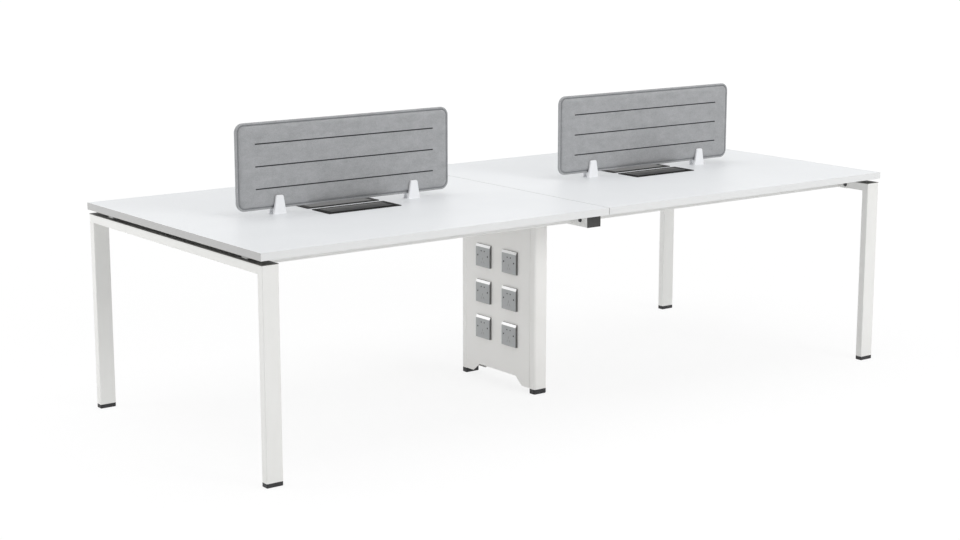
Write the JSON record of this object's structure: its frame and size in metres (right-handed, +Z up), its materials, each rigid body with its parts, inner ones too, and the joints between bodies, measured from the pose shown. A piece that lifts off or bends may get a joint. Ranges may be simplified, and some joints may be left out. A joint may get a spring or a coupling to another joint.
{
  "type": "four-person bench desk",
  "caption": "Shared bench desk: joined boards on tube end frames, a cable-riser leg with socket plates, felt divider screens and flip-lid cable boxes.",
  "frame": {"origin": "on the floor under the centre of the desk", "axes": "+X along the desk, away from the riser leg's socket side; +Y across the desk; +Z up"},
  "size_m": [2.8, 1.2, 1.068],
  "materials": {
    "white_melamine": "satin melamine over chipboard",
    "white_edge_band": "satin plastic band",
    "white_steel": "fine powder coat",
    "dark_strip": "dull extruded strip",
    "grey_plastic": "moulded",
    "black_steel": "black oxide",
    "zinc_steel": "zinc plated",
    "cap_plastic": "moulded",
    "socket_plastic": "satin silver grey",
    "white_plastic": "moulded",
    "grey_felt": "pressed heather felt",
    "black_rubber": "dull",
    "white_casting": "fine powder coat",
    "black_frame": "satin moulded",
    "dark_lid": "satin moulded",
    "black_bristle": "nylon bristle",
    "black_plastic": "moulded"
  },
  "bodies": {
    "desk": {"board_screws": "zinc_steel", "bracket_bolts": "zinc_steel", "bracket_left_inner": "white_casting", "bracket_left_outer": "white_casting", "bracket_pads": "black_rubber", "bracket_right_inner": "white_casting", "bracket_right_outer": "white_casting", "cable_box_left_back": "black_frame", "cable_box_left_front": "black_frame", "cable_box_right_back": "black_frame", "cable_box_right_front": "black_frame", "cable_brushes": "black_bristle", "cable_tray_left": "white_steel", "cable_tray_right": "white_steel", "centre_beam": "white_steel", "centre_beam_caps": "cap_plastic", "edge_bands": "white_edge_band", "frame_bolts": "black_steel", "left_back_beam": "white_steel", "left_back_leg": "white_steel", "left_end_rail": "white_steel", "left_front_beam": "white_steel", "left_front_leg": "white_steel", "lid_hinge_pins": "zinc_steel", "rail_cover_strips": "dark_strip", "right_back_beam": "white_steel", "right_back_leg": "white_steel", "right_end_rail": "white_steel", "right_front_beam": "white_steel", "right_front_leg": "white_steel", "riser_back_column": "white_steel", "riser_front_column": "white_steel", "riser_plain_panel": "white_steel", "riser_socket_panel": "white_steel", "screen_left": "grey_felt", "screen_right": "grey_felt", "socket_back_boxes": "white_plastic", "socket_plate_1": "socket_plastic", "socket_plate_2": "socket_plastic", "socket_plate_3": "socket_plastic", "socket_plate_4": "socket_plastic", "socket_plate_5": "socket_plastic", "socket_plate_6": "socket_plastic", "socket_screws": "zinc_steel", "tabletop_left": "white_melamine", "tabletop_right": "white_melamine", "top_spacers": "grey_plastic", "tube_inserts": "black_plastic"},
    "lid_left_front": {"lid_left_front": "dark_lid"},
    "lid_left_back": {"lid_left_back": "dark_lid"},
    "lid_right_front": {"lid_right_front": "dark_lid"},
    "lid_right_back": {"lid_right_back": "dark_lid"},
    "foot_left_front": {"foot_left_front": "black_plastic"},
    "foot_left_back": {"foot_left_back": "black_plastic"},
    "foot_right_front": {"foot_right_front": "black_plastic"},
    "foot_right_back": {"foot_right_back": "black_plastic"},
    "foot_riser_front": {"foot_riser_front": "black_plastic"},
    "foot_riser_back": {"foot_riser_back": "black_plastic"}
  },
  "joints": [
    {"name": "lid_left_front_hinge", "type": "hinge", "parent": "desk", "child": "lid_left_front", "pos_m": [-0.7005, -0.028, 0.7495], "axis": [-1, 0, 0], "range_deg": [0, 95]},
    {"name": "lid_left_back_hinge", "type": "hinge", "parent": "desk", "child": "lid_left_back", "pos_m": [-0.7005, 0.028, 0.7495], "axis": [1, 0, 0], "range_deg": [0, 95]},
    {"name": "lid_right_front_hinge", "type": "hinge", "parent": "desk", "child": "lid_right_front", "pos_m": [0.7005, -0.028, 0.7495], "axis": [-1, 0, 0], "range_deg": [0, 95]},
    {"name": "lid_right_back_hinge", "type": "hinge", "parent": "desk", "child": "lid_right_back", "pos_m": [0.7005, 0.028, 0.7495], "axis": [1, 0, 0], "range_deg": [0, 95]},
    {"name": "foot_left_front_screw", "type": "slide", "parent": "desk", "child": "foot_left_front", "axis": [0, 0, -1], "range_m": [0, 0.012]},
    {"name": "foot_left_back_screw", "type": "slide", "parent": "desk", "child": "foot_left_back", "axis": [0, 0, -1], "range_m": [0, 0.012]},
    {"name": "foot_right_front_screw", "type": "slide", "parent": "desk", "child": "foot_right_front", "axis": [0, 0, -1], "range_m": [0, 0.012]},
    {"name": "foot_right_back_screw", "type": "slide", "parent": "desk", "child": "foot_right_back", "axis": [0, 0, -1], "range_m": [0, 0.012]},
    {"name": "foot_riser_front_screw", "type": "slide", "parent": "desk", "child": "foot_riser_front", "axis": [0, 0, -1], "range_m": [0, 0.012]},
    {"name": "foot_riser_back_screw", "type": "slide", "parent": "desk", "child": "foot_riser_back", "axis": [0, 0, -1], "range_m": [0, 0.012]}
  ]
}
